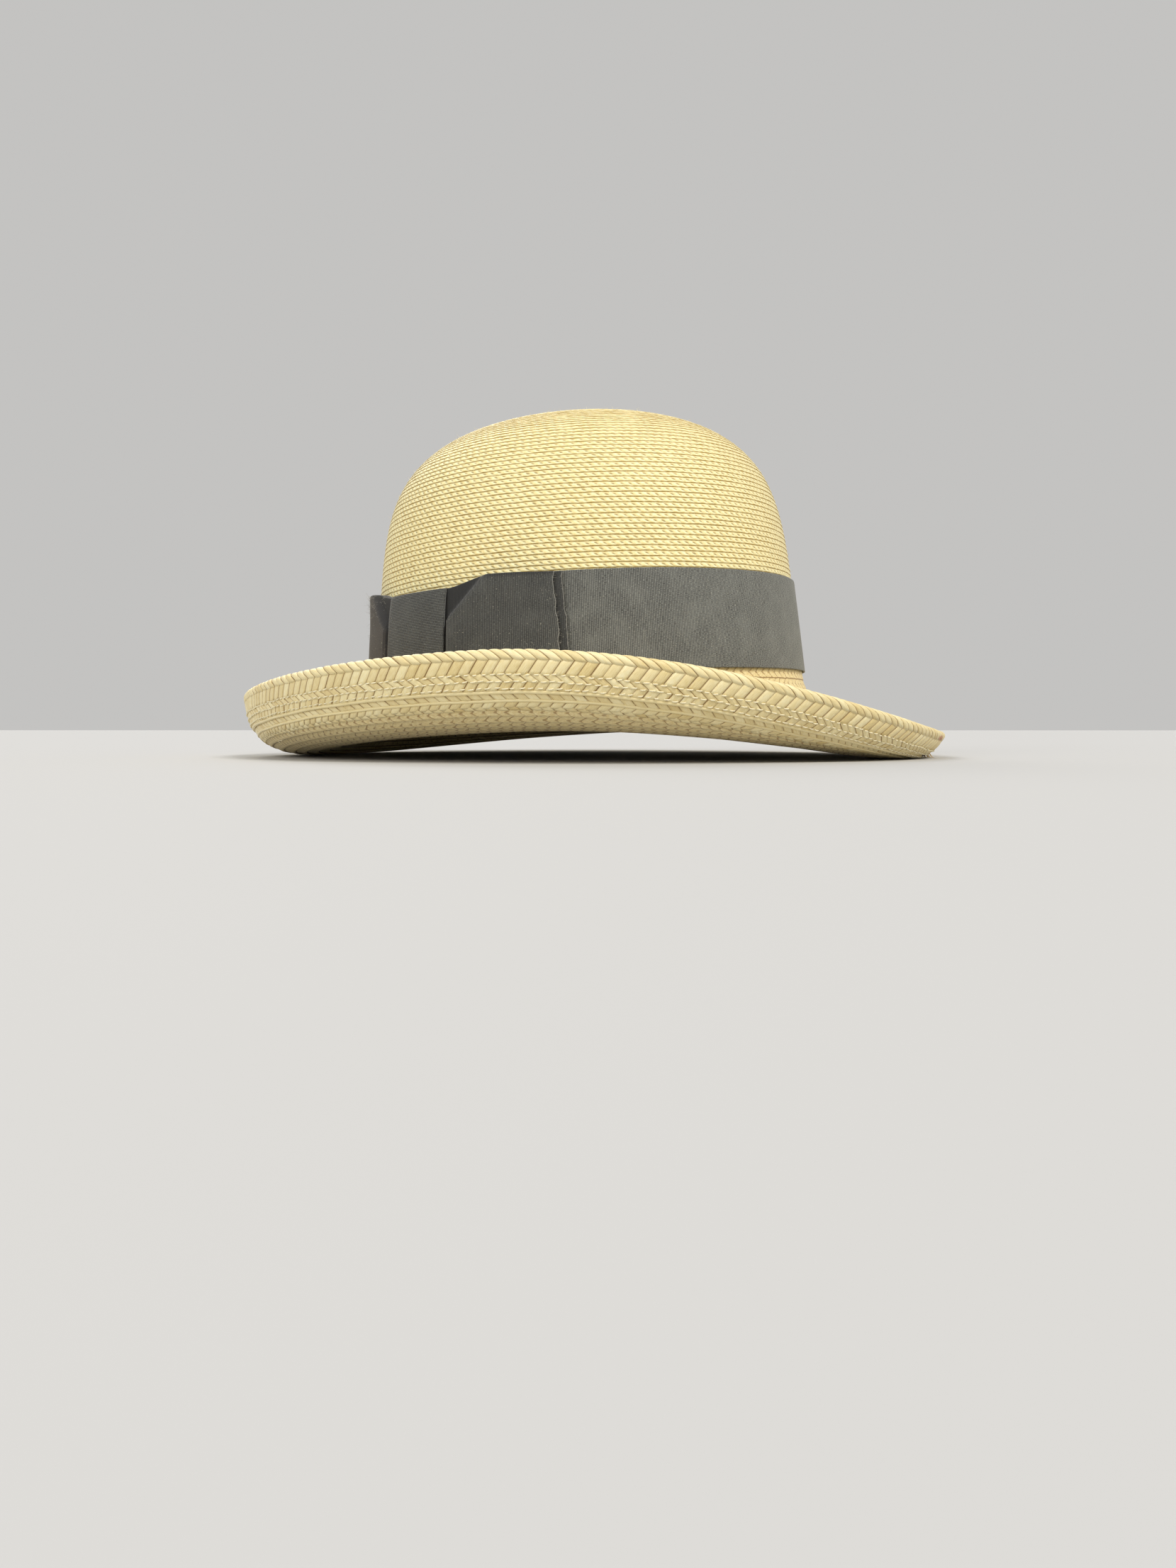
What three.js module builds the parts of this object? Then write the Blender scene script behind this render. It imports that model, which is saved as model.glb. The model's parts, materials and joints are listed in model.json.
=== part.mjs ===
// A straw hat with a round crown, an upturned brim and a ribbon band with a flat bow.
// Millimetres, +Z up. The front is -Y and the wearer's right is -X.
//
// The hat is drawn from its head line, the oval where the head goes in, at height 0.
// An angle is counted in degrees from the front towards the wearer's right.
// "out" is a distance outwards from the head line's oval, square to it.
import * as THREE from 'three';

// ---------- driving dimensions ----------

const STATIONS = 56; // sections round the head
const GAP = 0.35; // clearance between two pieces that touch on the real hat

const HEAD = { long: 100, wide: 85 }; // half axes of the oval at the head line

const CROWN = {
  height: 136, // head line to the top
  wall: 2,
  foot: 18, // height of the crown's lower edge, hidden by the ribbon
  lean: 0.12, // share by which the side wall closes in towards the top
  squareness: 6.8, // how late the wall turns into the dome
  roundness: 2.25, // how round the turn is
  rings: 12,
};

const BRIM = {
  wall: 2.2,
  edgeWall: 1.4, // the wall at the rim
  thinRings: 3, // rings over which the wall thins
  lowestShare: 0.7, // share of the width at which the brim is lowest
  collarIn: 3.7, // how far the collar's under face is inside the head line
  collarPull: 1.1, // how long the section leaves the collar upright, as a share of the collar's height
  rootPull: 0.6, // how long it keeps the lowest ring's slope inwards, as a share of that ring's width
  curlPull: 0.45, // the same for both ends of the curl, as a share of its chord
  rootRings: 8,
  curlRings: 6,
};

// Sections of the brim at the front, side and back. "width" is out to the rim, "rim" and "low" are
// heights of the rim and of the lowest ring, "lowSlope" and "rimSlope" are the section's angles there.
const BRIM_SECTIONS = {
  front: { width: 57.2, rim: -13.6, low: -22.4, lowSlope: 4, rimSlope: 56 },
  side: { width: 62.4, rim: 20.6, low: -3.5, lowSlope: 14, rimSlope: 80 },
  back: { width: 53.7, rim: 10.9, low: -11.7, lowSlope: 10, rimSlope: 84 },
};

// The plait folded over the rim.
const EDGE = {
  thick: 1.2,
  outerLeg: 12.5,
  innerLeg: 4.5,
  legShares: [1, 0.75, 0.5, 0.22], // rings of the outer leg
  shoulder: 0.85, // how far the rounded top's corners are out, as a share of the plait's outer face
  shoulderRise: 0.4, // how high they are, as a share of its thickness
  legEnd: 0.8, // thickness of either leg at its end
};

const RIBBON = { thick: 1, width: 40, top: 57 };
const RIBBON_BOTTOM = RIBBON.top - RIBBON.width;

const SWEATBAND = { thick: 1, off: 0.45, heights: [1.5, 5, 10, CROWN.foot, 31] };

// The bow, by angle. Each half runs from its cut end to the knot.
const BOW = {
  knotFrom: 110.8,
  knotTo: 132.2,
  panel: 28, // angle that one half covers
  tuck: 3, // angle by which a half runs on under the knot
  underShows: 1.9, // angle by which the lower layer passes the upper one
  cutWave: 0.5, // angle by which a cut end waves
  cutTurns: 5, // radians of that wave over the ribbon's width
  puff: 3.4, // how far a half stands off the band
  edgePuff: 0.75, // share of the puff at a half's top and bottom edges
  foldAt: 0.58, // height share above which the corner by the knot is folded in
  foldLength: 0.44, // length share of that corner
  dip: 3.4, // how far the knot pulls the band's top edge down
  dipFade: 12, // angle beside the knot over which the edge rises again
  knotArch: 1.1, // how far the knot bulges at its middle
};

// ---------- colours ----------

const STRAW = { color: 0xe6cf96, roughness: 0.6, metalness: 0 };
const BRIM_STRAW = { color: 0xd3b987, roughness: 0.62, metalness: 0 };
const PLAIT = { color: 0xe4cf9a, roughness: 0.5, metalness: 0 };
const GROSGRAIN = { color: 0x3b3936, roughness: 0.8, metalness: 0 };
const SWEAT = { color: 0x4a4238, roughness: 0.85, metalness: 0 };

// ---------- the oval and the loft ----------

const radians = (degrees) => (degrees * Math.PI) / 180;
const mix = (a, b, share) => a + (b - a) * share;
const clamp = (value) => Math.min(1, Math.max(0, value));
const smooth = (value) => clamp(value) ** 2 * (3 - 2 * clamp(value));

// A point at an angle, on the head line's oval times scale, moved out and up.
function place(angle, out, height, scale = 1) {
  const side = Math.sin(radians(angle));
  const front = Math.cos(radians(angle));
  const normal = new THREE.Vector2(side / HEAD.wide, front / HEAD.long).normalize();
  return new THREE.Vector3(
    -(HEAD.wide * scale * side + out * normal.x),
    -(HEAD.long * scale * front + out * normal.y),
    height,
  );
}

// One section at each station, each a list of points.
function sections(sectionAt) {
  return Array.from({ length: STATIONS }, (_, i) => sectionAt((360 * i) / STATIONS));
}

function geometryOf(points, triangles) {
  const geometry = new THREE.BufferGeometry().setFromPoints(points);
  geometry.setIndex(triangles);
  geometry.computeVertexNormals();
  return geometry;
}

// Two triangles between four corners given in turn.
const quad = (a, b, c, d) => [a, b, c, a, c, d];

// A ring of closed sections.
function ringSolid(list) {
  const count = list[0].length;
  const index = (station, k) => (station % list.length) * count + (k % count);
  const triangles = [];
  for (let i = 0; i < list.length; i += 1) {
    for (let k = 0; k < count; k += 1) {
      triangles.push(...quad(index(i, k), index(i + 1, k), index(i + 1, k + 1), index(i, k + 1)));
    }
  }
  return geometryOf(list.flat(), triangles);
}

// A hollow dome: sections run from under the top of the outer face down, round the foot and up
// inside, and the two tops close it.
function domeSolid(list, outerTop, innerTop) {
  const count = list[0].length;
  const index = (station, k) => (station % list.length) * count + k;
  const outer = list.length * count;
  const inner = outer + 1;
  const triangles = [];
  for (let i = 0; i < list.length; i += 1) {
    triangles.push(outer, index(i + 1, 0), index(i, 0));
    triangles.push(inner, index(i, count - 1), index(i + 1, count - 1));
    for (let k = 0; k < count - 1; k += 1) {
      triangles.push(...quad(index(i, k), index(i + 1, k), index(i + 1, k + 1), index(i, k + 1)));
    }
  }
  return geometryOf([...list.flat(), outerTop, innerTop], triangles);
}

// A curved panel between an outer and an inner grid of the same size, outer[row][column].
function panelSolid(outer, inner) {
  const rows = outer.length;
  const columns = outer[0].length;
  const out = (r, c) => r * columns + c;
  const into = (r, c) => rows * columns + r * columns + c;
  const triangles = [];
  for (let r = 0; r < rows - 1; r += 1) {
    for (let c = 0; c < columns - 1; c += 1) {
      triangles.push(...quad(out(r, c), out(r + 1, c), out(r + 1, c + 1), out(r, c + 1)));
      triangles.push(...quad(into(r, c), into(r, c + 1), into(r + 1, c + 1), into(r + 1, c)));
    }
    triangles.push(...quad(out(r, 0), into(r, 0), into(r + 1, 0), out(r + 1, 0)));
    const c = columns - 1;
    triangles.push(...quad(out(r, c), out(r + 1, c), into(r + 1, c), into(r, c)));
  }
  for (let c = 0; c < columns - 1; c += 1) {
    triangles.push(...quad(out(0, c), out(0, c + 1), into(0, c + 1), into(0, c)));
    const r = rows - 1;
    triangles.push(...quad(out(r, c), into(r, c), into(r, c + 1), out(r, c + 1)));
  }
  return geometryOf([...outer.flat(), ...inner.flat()], triangles);
}

// Turns a solid's triangles over if they face in, which the sign of its volume shows.
function facingOut(geometry) {
  const at = geometry.getAttribute('position');
  const order = geometry.getIndex().array;
  const [a, b, c] = [new THREE.Vector3(), new THREE.Vector3(), new THREE.Vector3()];
  let volume = 0;
  for (let i = 0; i < order.length; i += 3) {
    a.fromBufferAttribute(at, order[i]);
    b.fromBufferAttribute(at, order[i + 1]);
    c.fromBufferAttribute(at, order[i + 2]);
    volume += a.dot(b.cross(c));
  }
  if (volume < 0) {
    for (let i = 0; i < order.length; i += 3) {
      [order[i + 1], order[i + 2]] = [order[i + 2], order[i + 1]];
    }
    geometry.computeVertexNormals();
  }
  return geometry;
}

// ---------- crown ----------

// The share of the head line's oval that the crown keeps at a share of its height.
function crownScale(share) {
  const dome = (1 - share ** CROWN.squareness) ** (1 / CROWN.roundness);
  return dome * (1 - CROWN.lean * share);
}

// Height shares of the rings, closer together where the dome turns over.
function crownShares() {
  const first = CROWN.foot / CROWN.height;
  return Array.from({ length: CROWN.rings }, (_, i) => {
    const step = i / CROWN.rings;
    return first + (1 - first) * (1 - (1 - step) ** 2);
  });
}

// A crown surface, the outer one with inset 0 and the inner one a wall further in.
function crownPoint(angle, share, inset) {
  const height = share * (CROWN.height - inset);
  return place(angle, -inset * crownScale(share), height, crownScale(share));
}

function crownSection(angle) {
  const shares = crownShares();
  const outer = shares.map((share) => crownPoint(angle, share, 0)).reverse();
  const inner = shares.map((share) => crownPoint(angle, share, CROWN.wall));
  inner[0].z = CROWN.foot;
  return [...outer, ...inner];
}

// How far out the crown's outer face is at a height, for what lies on it.
const crownOut = (angle, height, off) => place(angle, off, height, crownScale(height / CROWN.height));

const crown = domeSolid(
  sections(crownSection),
  new THREE.Vector3(0, 0, CROWN.height),
  new THREE.Vector3(0, 0, CROWN.height - CROWN.wall),
);

// ---------- brim ----------

// The brim's named sizes at any angle, between the front, side and back sections.
function brimAt(angle) {
  const front = Math.cos(radians(angle));
  const end = front > 0 ? BRIM_SECTIONS.front : BRIM_SECTIONS.back;
  const share = front ** 2;
  const size = (name) => mix(BRIM_SECTIONS.side[name], end[name], share);
  return {
    width: size('width'),
    rim: size('rim'),
    low: size('low'),
    lowSlope: radians(size('lowSlope')),
    rimSlope: radians(size('rimSlope')),
  };
}

const COLLAR_TOP = CROWN.foot - GAP;

// The under face in a section, as two curves of (out, height): collar to lowest ring, and curl.
function underCurves(angle) {
  const brim = brimAt(angle);
  const along = (point, slope, length) =>
    new THREE.Vector2(point.x + Math.cos(slope) * length, point.y + Math.sin(slope) * length);
  const collar = new THREE.Vector2(-BRIM.collarIn, COLLAR_TOP);
  const low = new THREE.Vector2(brim.width * BRIM.lowestShare, brim.low);
  const rim = new THREE.Vector2(brim.width, brim.rim);
  const rootHandle = low.x * BRIM.rootPull;
  const curlHandle = low.distanceTo(rim) * BRIM.curlPull;
  return {
    root: new THREE.CubicBezierCurve(
      collar,
      new THREE.Vector2(collar.x, collar.y - COLLAR_TOP * BRIM.collarPull),
      along(low, brim.lowSlope, -rootHandle),
      low,
    ),
    curl: new THREE.CubicBezierCurve(
      low,
      along(low, brim.lowSlope, curlHandle),
      along(rim, brim.rimSlope, -curlHandle),
      rim,
    ),
  };
}

// Points of the under face with the normal that faces the upper side, from collar to rim.
function underFace(angle) {
  const { root, curl } = underCurves(angle);
  const list = [];
  const add = (curve, rings, from) => {
    for (let i = from; i <= rings; i += 1) {
      const tangent = curve.getTangentAt(i / rings);
      list.push({ at: curve.getPointAt(i / rings), up: new THREE.Vector2(-tangent.y, tangent.x) });
    }
  };
  add(root, BRIM.rootRings, 0);
  add(curl, BRIM.curlRings, 1);
  return list;
}

function brimSection(angle) {
  const face = underFace(angle);
  const last = face.length - 1;
  const under = face.map(({ at }) => place(angle, at.x, at.y));
  const upper = face.map(({ at, up }, i) => {
    const wall = mix(BRIM.wall, BRIM.edgeWall, smooth((i - last + BRIM.thinRings) / (BRIM.thinRings - 1)));
    return place(angle, at.x + up.x * wall, at.y + up.y * wall);
  });
  return [...under, ...upper.reverse()];
}

const brim = ringSolid(sections(brimSection));

// ---------- edge plait ----------

// The plait's section: a hook over the rim, drawn round the middle of the brim's wall.
function edgeSection(angle) {
  const { curl } = underCurves(angle);
  const length = curl.getLength();
  const half = BRIM.edgeWall / 2;
  const near = half + GAP;
  const far = near + EDGE.thick;
  const point = (back, off, beyond = 0) => {
    const share = clamp(1 - back / length);
    const at = curl.getPointAt(share);
    const tangent = curl.getTangentAt(share);
    const up = new THREE.Vector2(-tangent.y, tangent.x);
    const middle = at.addScaledVector(up, half).addScaledVector(tangent, beyond);
    return middle.addScaledVector(up, off);
  };
  const outerLeg = EDGE.legShares.map((share) => EDGE.outerLeg * share);
  const outside = outerLeg.map((back, i) => point(back, i === 0 ? -near - EDGE.legEnd : -far));
  const shoulder = far * EDGE.shoulder;
  const shoulderTop = GAP + EDGE.thick * EDGE.shoulderRise;
  const overTop = [
    point(0, -shoulder, shoulderTop),
    point(0, 0, GAP + EDGE.thick),
    point(0, shoulder, shoulderTop),
  ];
  const innerEnd = [point(EDGE.innerLeg, far), point(EDGE.innerLeg, near + EDGE.legEnd)];
  const inside = [point(0, near, GAP), point(0, -near, GAP)];
  const back = outerLeg.slice().reverse().map((distance) => point(distance, -near));
  return [...outside, ...overTop, ...innerEnd, ...inside, ...back].map(({ x, y }) => place(angle, x, y));
}

const edgeBraid = ringSolid(sections(edgeSection));

// ---------- ribbon band ----------

const BAND_LEVELS = 4;
const KNOT_MIDDLE = (BOW.knotFrom + BOW.knotTo) / 2;
const KNOT_HALF = (BOW.knotTo - BOW.knotFrom) / 2;

// The band's top edge, which the knot pulls down.
function bandTop(angle) {
  const beside = Math.abs(angle - KNOT_MIDDLE) - KNOT_HALF;
  return RIBBON.top - BOW.dip * (1 - smooth(beside / BOW.dipFade));
}

// A height between the band's lower edge and its top edge.
const bandHeight = (angle, share) => mix(RIBBON_BOTTOM, bandTop(angle), share);

function bandSection(angle) {
  const level = (off) => (_, i) => crownOut(angle, bandHeight(angle, i / (BAND_LEVELS - 1)), off);
  const outer = Array.from({ length: BAND_LEVELS }, level(GAP + RIBBON.thick));
  const inner = Array.from({ length: BAND_LEVELS }, level(GAP));
  return [...outer, ...inner.reverse()];
}

const ribbonBand = ringSolid(sections(bandSection));

// ---------- sweatband ----------

const COLLAR_STEPS = 60; // steps in which the collar's face is followed to find a height

// How far out the inside of the collar and crown is at a height.
function insideOut(angle, height) {
  if (height >= COLLAR_TOP) {
    const share = height / (CROWN.height - CROWN.wall);
    return crownPoint(angle, share, CROWN.wall);
  }
  const face = underCurves(angle).root.getSpacedPoints(COLLAR_STEPS);
  const next = face.findIndex((point) => point.y <= height);
  const share = (face[next - 1].y - height) / (face[next - 1].y - face[next].y);
  return place(angle, mix(face[next - 1].x, face[next].x, share), height);
}

// Moves a point of the inside in, square to the oval.
function inwards(angle, point, distance) {
  const step = place(angle, -distance, 0).sub(place(angle, 0, 0));
  return point.clone().add(step);
}

function sweatSection(angle) {
  const walls = SWEATBAND.heights.map((height) => insideOut(angle, height));
  const outer = walls.map((point) => inwards(angle, point, SWEATBAND.off));
  const inner = walls.map((point) => inwards(angle, point, SWEATBAND.off + SWEATBAND.thick));
  return [...outer, ...inner.reverse()];
}

const sweatband = ringSolid(sections(sweatSection));

// ---------- bow ----------

const BAND_FACE = GAP + RIBBON.thick; // how far the band's outer face is off the crown
const UNDER_FACE = BAND_FACE + GAP + RIBBON.thick; // and the outer face of a half's lower layer
const PANEL_FACE = UNDER_FACE + GAP + RIBBON.thick; // and of its upper layer where it lies flat
const PANEL_ROWS = 6;
const KNOT_ROWS = 6;
const KNOT_COLUMNS = 5;
const PINCHED = 0.07; // share of the puff that is left where a half passes under the knot
const KNOT_EDGE = BOW.panel / (BOW.panel + BOW.tuck); // share of a half's length at the knot's edge
const FALL = 0.1; // share of its length over which a half drops to the knot

// Shares of a half's length, closer together where it drops under the knot.
const PANEL_COLUMNS = [0, 0.14, 0.3, 0.42, 0.5, 0.58, 0.66, 0.74, 0.8, 0.84, 0.87, KNOT_EDGE, 1];

// A grid of points over a half of the bow, standing "off(length, height)" off the crown. "side" is
// -1 for the half before the knot and 1 for the half behind it; "extra" lengthens its cut end.
function panelGrid(side, extra, off) {
  return Array.from({ length: PANEL_ROWS + 1 }, (_, row) => {
    const height = row / PANEL_ROWS;
    return PANEL_COLUMNS.map((share) => {
      const wave = BOW.cutWave * Math.sin(height * BOW.cutTurns) * (1 - share) ** 4;
      const beside = mix(BOW.panel + extra, -BOW.tuck, share) + wave;
      const angle = KNOT_MIDDLE + side * (KNOT_HALF + beside);
      return crownOut(angle, bandHeight(angle, height), off(share, height));
    });
  });
}

// The puff of the upper layer, and the corner folded in beside the knot.
function puffAt(share, height) {
  const corner = clamp((height - BOW.foldAt) / (1 - BOW.foldAt));
  const crease = Math.min(KNOT_EDGE * (1 - BOW.foldLength * corner), KNOT_EDGE - FALL / 2);
  const rise = smooth(share / crease);
  const dropped = smooth((share - crease) / Math.min(FALL, KNOT_EDGE - crease));
  const across = mix(BOW.edgePuff, 1, Math.sin(height * Math.PI));
  return BOW.puff * rise * mix(1, PINCHED, dropped) * across;
}

function bowUnder(side) {
  const grid = (face) => panelGrid(side, BOW.underShows, () => face);
  return facingOut(panelSolid(grid(UNDER_FACE), grid(UNDER_FACE - RIBBON.thick)));
}

function bowPanel(side) {
  const grid = (face) => panelGrid(side, 0, (share, height) => face + puffAt(share, height));
  return facingOut(panelSolid(grid(PANEL_FACE), grid(PANEL_FACE - RIBBON.thick)));
}

// The knot arches over both halves and turns in at its top and bottom.
function bowKnot() {
  const near = PANEL_FACE + BOW.puff * PINCHED + GAP;
  const grid = (face) =>
    Array.from({ length: KNOT_ROWS + 1 }, (_, row) => {
      const height = row / KNOT_ROWS;
      const arch = BOW.knotArch * Math.sin(height * Math.PI) ** 0.5;
      return Array.from({ length: KNOT_COLUMNS + 1 }, (__, column) => {
        const angle = mix(BOW.knotFrom, BOW.knotTo, column / KNOT_COLUMNS);
        return crownOut(angle, bandHeight(angle, height), face + arch);
      });
    });
  return facingOut(panelSolid(grid(near + RIBBON.thick), grid(near)));
}

// ---------- assembly ----------

function piece(name, geometry, material) {
  const mesh = new THREE.Mesh(geometry, new THREE.MeshStandardMaterial(material));
  mesh.name = name;
  return mesh;
}

const hat = new THREE.Group();
hat.add(
  piece('crown', facingOut(crown), STRAW),
  piece('brim', facingOut(brim), BRIM_STRAW),
  piece('edge_braid', facingOut(edgeBraid), PLAIT),
  piece('ribbon_band', facingOut(ribbonBand), GROSGRAIN),
  piece('sweatband', facingOut(sweatband), SWEAT),
  piece('bow_front_under', bowUnder(-1), GROSGRAIN),
  piece('bow_front', bowPanel(-1), GROSGRAIN),
  piece('bow_back_under', bowUnder(1), GROSGRAIN),
  piece('bow_back', bowPanel(1), GROSGRAIN),
  piece('bow_knot', bowKnot(), GROSGRAIN),
);

// The hat stands on the lowest points of its brim at the front and the back, which are not level.
function lowestPoint(angle) {
  const points = underFace(angle).map(({ at }) => place(angle, at.x, at.y));
  return points.reduce((lowest, point) => (point.z < lowest.z ? point : lowest));
}

const frontFoot = lowestPoint(0);
const backFoot = lowestPoint(180);
hat.rotation.x = -Math.atan2(backFoot.z - frontFoot.z, backFoot.y - frontFoot.y);

// The origin is under the middle of the whole hat.
hat.updateMatrixWorld(true);
const bounds = new THREE.Box3().setFromObject(hat, true);
const middle = bounds.getCenter(new THREE.Vector3());
hat.position.set(-middle.x, -middle.y, -bounds.min.z);

const model = new THREE.Group();
model.add(hat);
model.updateMatrixWorld(true);

export default model;
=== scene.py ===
"""A straw hat with a round crown, an upturned brim and a dark grosgrain ribbon with a flat bow.

Shapes are worked out in millimetres in the hat's own frame, whose origin is the middle of the head
line, the oval where the head goes in. +Z is up the crown, -Y the front, -X the wearer's right.
An angle is counted in degrees from the front towards the wearer's right, "out" is a distance
outwards from the head line's oval, square to it, and "off" is a distance off a surface.
"""
import json
import math
from collections import namedtuple

import bpy
import numpy as np
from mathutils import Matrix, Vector


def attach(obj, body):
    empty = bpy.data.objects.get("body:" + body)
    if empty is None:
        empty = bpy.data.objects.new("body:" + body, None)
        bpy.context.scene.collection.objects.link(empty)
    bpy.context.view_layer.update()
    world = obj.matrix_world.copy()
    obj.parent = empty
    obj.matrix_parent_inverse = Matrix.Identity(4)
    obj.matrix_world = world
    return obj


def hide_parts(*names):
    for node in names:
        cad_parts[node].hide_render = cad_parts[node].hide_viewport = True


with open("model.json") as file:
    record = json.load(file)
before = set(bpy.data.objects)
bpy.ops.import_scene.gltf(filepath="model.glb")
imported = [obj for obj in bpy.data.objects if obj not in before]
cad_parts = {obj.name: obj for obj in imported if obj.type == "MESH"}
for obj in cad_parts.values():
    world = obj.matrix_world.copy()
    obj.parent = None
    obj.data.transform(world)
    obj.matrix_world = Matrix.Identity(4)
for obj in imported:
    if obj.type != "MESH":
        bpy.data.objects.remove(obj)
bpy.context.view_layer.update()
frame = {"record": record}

MM = 0.001

# ---- the hat's driving dimensions, as in the CAD model ----

HEAD_LONG = 100
HEAD_WIDE = 85
HEAD_RADIUS = (HEAD_LONG + HEAD_WIDE) / 2

CROWN_HEIGHT = 136
CROWN_WALL = 2
CROWN_FOOT = 18
CROWN_LEAN = 0.12
CROWN_SQUARENESS = 6.8
CROWN_ROUNDNESS = 2.25

BRIM_WALL = 2.2
BRIM_EDGE_WALL = 1.4
BRIM_THINS_OVER = 12
BRIM_LOWEST_SHARE = 0.7
COLLAR_IN = 3.7
COLLAR_TOP = 17.65
COLLAR_PULL = 1.1
ROOT_PULL = 0.6
CURL_PULL = 0.45
BRIM_SECTIONS = {
    "front": {"width": 57.2, "rim": -13.6, "low": -22.4, "low_slope": 4, "rim_slope": 56},
    "side": {"width": 62.4, "rim": 20.6, "low": -3.5, "low_slope": 14, "rim_slope": 80},
    "back": {"width": 53.7, "rim": 10.9, "low": -11.7, "low_slope": 10, "rim_slope": 84},
}

PLAIT_OUTER_LEG = 12.5
PLAIT_INNER_LEG = 4.5
GAP = 0.35

RIBBON_THICK = 1
RIBBON_TOP = 57
RIBBON_BOTTOM = 17
RIBBON_WIDE = RIBBON_TOP - RIBBON_BOTTOM
BAND_FACE = GAP + RIBBON_THICK
UNDER_FACE = BAND_FACE + GAP + RIBBON_THICK
PANEL_FACE = UNDER_FACE + GAP + RIBBON_THICK

KNOT_FROM = 110.8
KNOT_TO = 132.2
KNOT_MIDDLE = (KNOT_FROM + KNOT_TO) / 2
KNOT_HALF = (KNOT_TO - KNOT_FROM) / 2
KNOT_DIP = 3.4
KNOT_DIP_FADE = 12
KNOT_ARCH = 1.1
KNOT_WIDE = 36
BOW_PANEL = 28
BOW_TUCK = 3
BOW_UNDER_SHOWS = 1.9
BOW_REACH = KNOT_HALF + BOW_PANEL + BOW_UNDER_SHOWS
BOW_PUFF = 3.4
BOW_EDGE_PUFF = 0.75
BOW_PINCHED = 0.07
BOW_FALL = 0.1
BOW_FOLD_AT = 0.58
BOW_FOLD_LENGTH = 0.44
CUT_WAVE = 0.5
CUT_TURNS = 5
KNOT_EDGE = BOW_PANEL / (BOW_PANEL + BOW_TUCK)

SWEAT_OFF = 0.45
SWEAT_DEEP = 0.85
SWEAT_BOTTOM = 1.5
SWEAT_TOP = 31
SWEAT_RADIUS = 90

# ---- what the weave and the sewing look like ----

CROWN_ROW = 2.2
CROWN_STITCH = 3.2
# The hole in each stitch: half its length in mm, half its height and its middle as shares of a row,
# and its slant in mm over a row.
CROWN_HOLE = {"long": 0.8, "high": 0.27, "middle": 0.44, "slant": 2.7}
BRIM_ROW = 4.0
PLAIT_REPEAT = 4.24
THREAD_SPACING = 3.13
RIB = 0.68
RIB_DEPTH = 0.13
RIB_AT_EDGE = 0.3  # the share of their depth that the ribs keep at a ribbon's edges
CLOTH_SINK = 0.1  # how far the cloth lies under the CAD's face, so that its ribs stay inside
# Marks at the front, by the way along the rim and from it: the burn on the ridge, and the gap
# where the braid's end has come open.
SCORCH = {"along": 19, "back": 0.8, "long": 15, "wide": 2.2}
SPLIT = {"along": 15, "back": 10.4, "long": 8, "wide": 1.0}
FUZZ = 5400
LOOSE_ENDS = 16
LINT = 110
REAR_FRAY = 170
SWEAT_STITCHES = 150
PRESSED = 0.6  # height over which the straw gives where it rests

# ---- small helpers ----


def mix(a, b, share):
    return a + (b - a) * share


def smooth(value):
    value = np.clip(value, 0, 1)
    return value**2 * (3 - 2 * value)


def unit(vectors):
    length = np.linalg.norm(vectors, axis=-1, keepdims=True)
    return vectors / np.maximum(length, 1e-9)


def stacked(*parts):
    """Coordinates of any shapes that fit each other, as one array of points."""
    return np.stack(np.broadcast_arrays(*parts), -1)


def link(thing):
    bpy.context.scene.collection.objects.link(thing)
    return thing


def run_along(points):
    """Distances along a line of points, from 0."""
    return np.concatenate([[0], np.cumsum(np.linalg.norm(np.diff(points, axis=0), axis=1))])


# ---- the hat's frame in the row ----

head = frame["record"]["mounts"][0]
HEAD_MIDDLE = np.array(head["pos_m"], float)
HAT_UP = -unit(np.array(head["axis"], float))
HAT_X = np.array([1.0, 0.0, 0.0])
HAT_AXES = np.stack([HAT_X, np.cross(HAT_UP, HAT_X), HAT_UP])


def to_row(points):
    """Points of the hat's frame in millimetres, as points of the row in metres."""
    return HEAD_MIDDLE + (points * MM) @ HAT_AXES


def place(angle, out, height, scale=1.0):
    """The point at an angle on the head line's oval times scale, moved out and up."""
    turn = np.radians(angle)
    side, front = np.sin(turn), np.cos(turn)
    nx, ny = side / HEAD_WIDE, front / HEAD_LONG
    length = np.hypot(nx, ny)
    x = -(HEAD_WIDE * scale * side + out * nx / length)
    y = -(HEAD_LONG * scale * front + out * ny / length)
    return stacked(x, y, height)


# ---- meshes from grids ----


class Grid:
    """Points in rows and columns with a flat map in millimetres. A closed grid's last column is made
    to repeat its first one, with the map run on."""

    def __init__(self, points, flat, closed=False):
        self.points = points
        self.flat = flat
        self.closed = closed
        if closed:
            self.points[:, -1] = self.points[:, 0]

    def raised(self, amount):
        """The same closed grid moved along its normals."""
        ring = self.points[:, :-1]
        along = np.roll(ring, -1, 1) - np.roll(ring, 1, 1)
        along = np.concatenate([along, along[:, :1]], 1)
        normal = unit(np.cross(along, np.gradient(self.points, axis=0)))
        return Grid(self.points + normal * amount[..., None], self.flat, True)


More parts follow.
